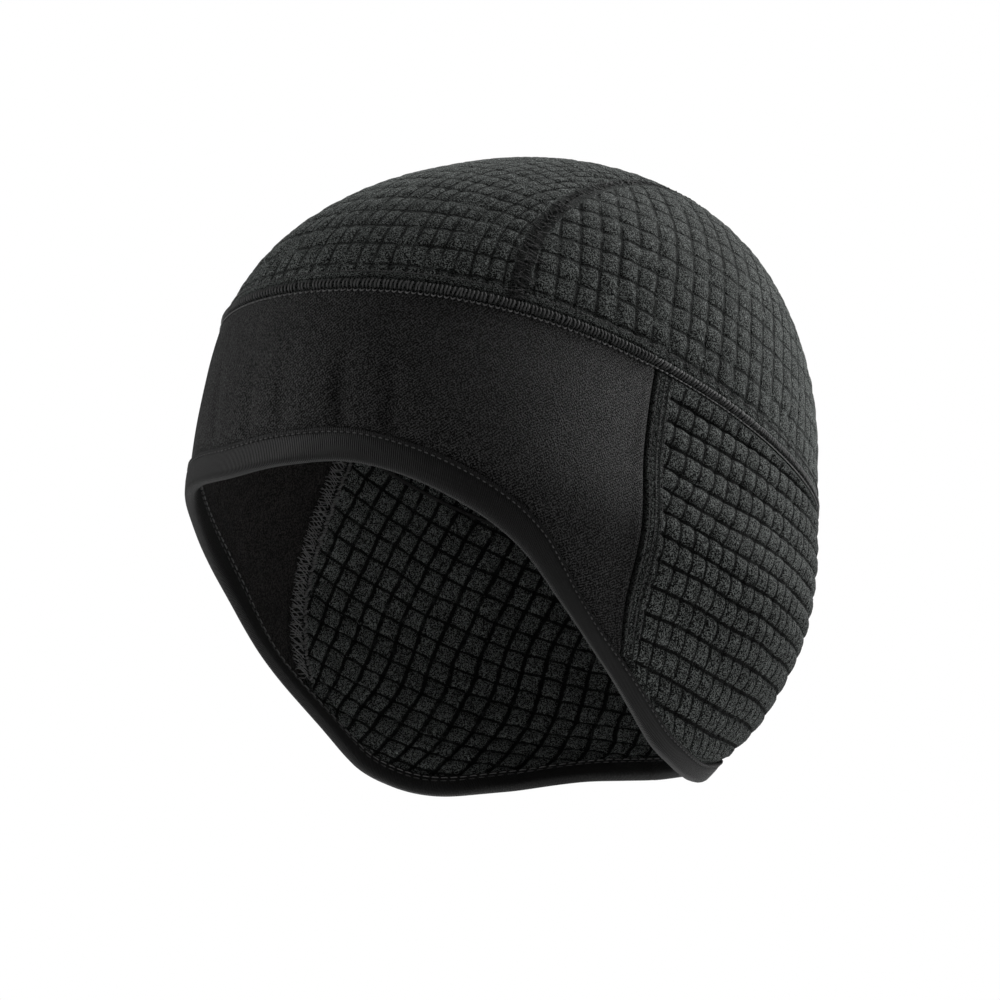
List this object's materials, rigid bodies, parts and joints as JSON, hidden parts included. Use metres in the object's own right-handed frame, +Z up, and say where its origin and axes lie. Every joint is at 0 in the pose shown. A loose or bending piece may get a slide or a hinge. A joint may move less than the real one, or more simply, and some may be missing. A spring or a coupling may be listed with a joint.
{
  "type": "helmet liner cap",
  "caption": "Close-fitting skull cap for wear under a helmet, with a grid fleece crown, ear and nape cover, a smooth forehead band and a bound edge.",
  "frame": {"origin": "the inside of the crown's highest region, where the cap sits on top of the wearer's head", "axes": "+Z up, the wearer faces -Y, the wearer's left is +X; the cap is tipped back 13 degrees as it is worn"},
  "size_m": [0.1598, 0.2122, 0.1918],
  "materials": {
    "fleece": "charcoal waffle-grid fleece, matt and slightly fuzzy",
    "jersey": "black fine twill-faced windproof jersey, brushed inside",
    "tape": "black ribbed elastic binding tape"
  },
  "bodies": {
    "root": {"crown_centre_panel": "fleece", "crown_left_panel": "fleece", "crown_right_panel": "fleece", "forehead_band": "jersey", "ear_and_nape_panel": "fleece", "edge_binding": "tape"}
  },
  "joints": []
}
